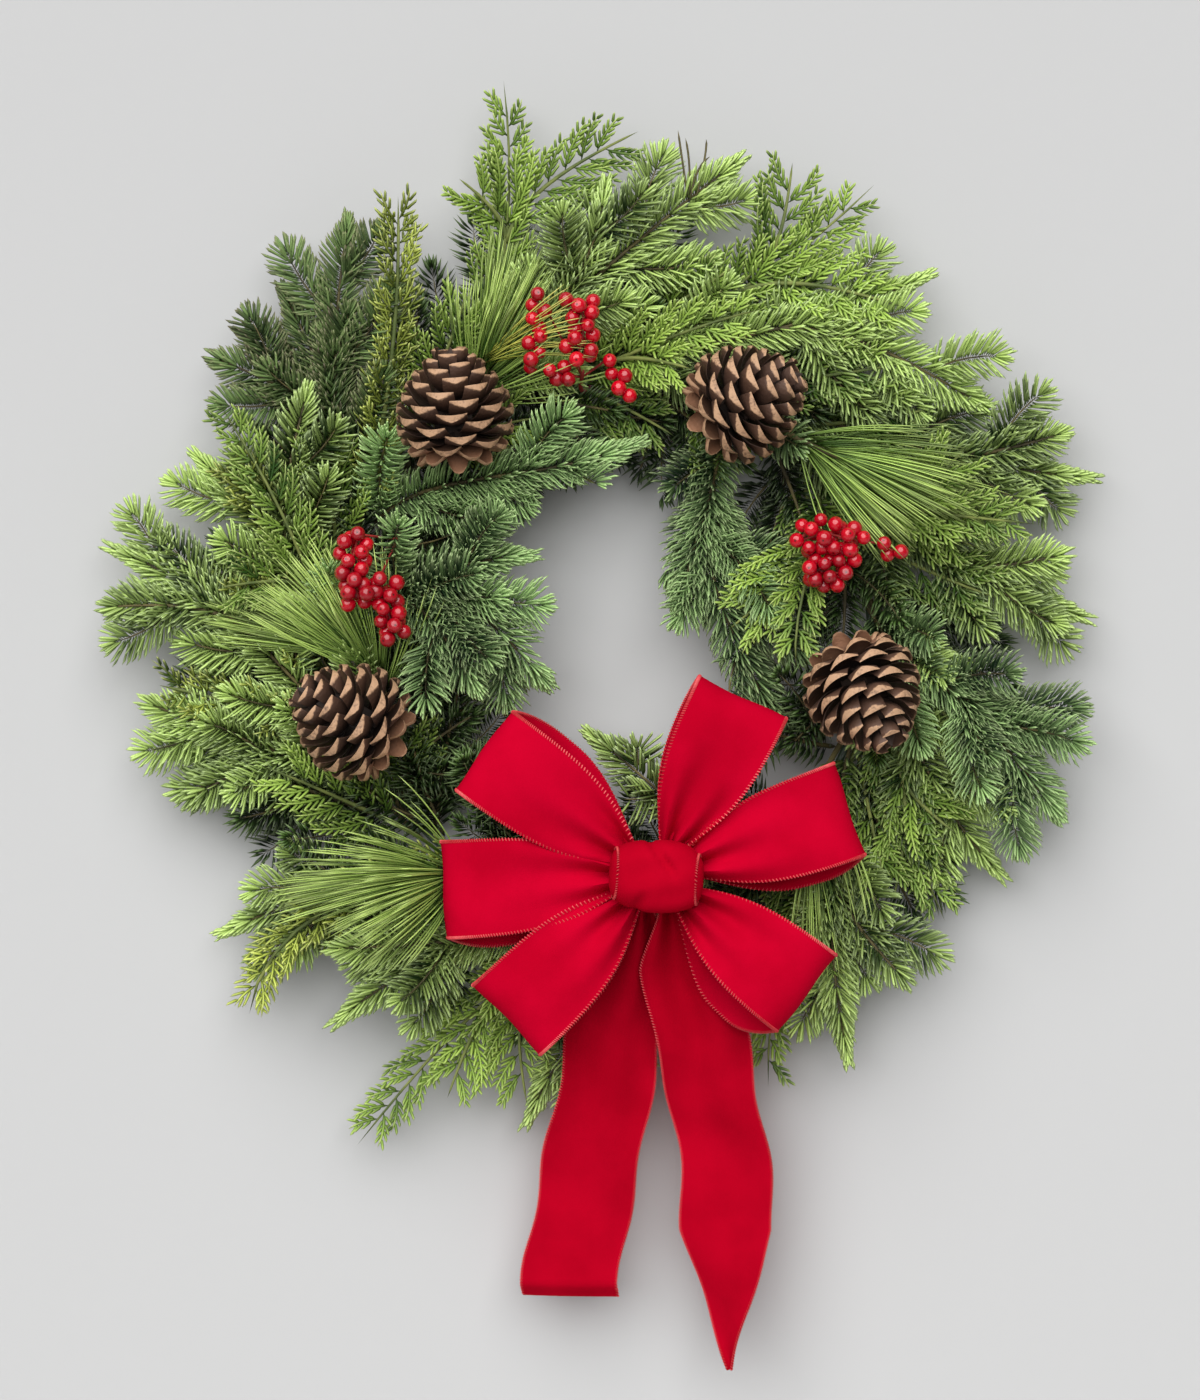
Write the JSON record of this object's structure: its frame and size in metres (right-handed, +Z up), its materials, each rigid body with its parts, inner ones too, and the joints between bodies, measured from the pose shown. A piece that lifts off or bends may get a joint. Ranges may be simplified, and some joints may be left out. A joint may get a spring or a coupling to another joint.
{
  "type": "fresh evergreen wreath",
  "caption": "Round wall wreath of fir, cedar, pine and juniper sprays on a wire clamp ring, with cones, berries and a velvet bow.",
  "frame": {"origin": "underside of the ring wire at its top, where a wall hook bears", "axes": "+Z up, +X right as seen by the viewer, +Y into the wall, so the front faces -Y"},
  "size_m": [0.6599, 0.1488, 0.8569],
  "materials": {
    "ring": "green enamel on steel wire",
    "wire": "green enamel on thin steel wire",
    "fir": "waxy dark green needles with a blue bloom",
    "cedar": "soft bright green scale leaves",
    "pine": "fine glossy green needles",
    "juniper": "yellow-green scale leaves",
    "cone": "dry brown scales with tan ends",
    "berry": "glossy red skin",
    "velvet": "crimson velvet with a stitched edge"
  },
  "bodies": {
    "root": {"wreath_ring": "ring", "bow_loop_upper_left": "velvet", "bow_loop_upper_right": "velvet", "bow_loop_right": "velvet", "bow_loop_lower_right": "velvet", "bow_loop_left": "velvet", "bow_loop_lower_left": "velvet", "bow_tail_left": "velvet", "bow_tail_right": "velvet", "bow_knot": "velvet", "cone_upper_left": "cone", "cone_upper_left_wire": "wire", "cone_upper_right": "cone", "cone_upper_right_wire": "wire", "cone_lower_left": "cone", "cone_lower_left_wire": "wire", "cone_lower_right": "cone", "cone_lower_right_wire": "wire", "bow_wire": "wire", "berries_top": "berry", "berries_left": "berry", "berries_right": "berry", "pine_tuft_top": "pine", "pine_tuft_right": "pine", "pine_tuft_left": "pine", "pine_tuft_lower_left": "pine", "pine_tuft_lower_right": "pine", "cedar_top": "cedar", "cedar_upper_right": "cedar", "cedar_front_top": "cedar", "cedar_right": "cedar", "cedar_inner_right": "cedar", "cedar_lower_right": "cedar", "cedar_bottom_right": "cedar", "cedar_bottom": "cedar", "cedar_left": "cedar", "juniper_upper_left": "juniper", "juniper_lower_left": "juniper", "fir_top": "fir", "fir_upper_right": "fir", "fir_right_upper": "fir", "fir_right": "fir", "fir_right_lower": "fir", "fir_lower_right": "fir", "fir_bottom_right": "fir", "fir_bottom": "fir", "fir_bottom_left": "fir", "fir_lower_left": "fir", "fir_left_lower": "fir", "fir_left": "fir", "fir_left_upper": "fir", "fir_upper_left": "fir", "fir_inner_left": "fir", "fir_inner_top": "fir", "fir_inner_right": "fir", "fir_inner_bottom": "fir"}
  },
  "joints": []
}
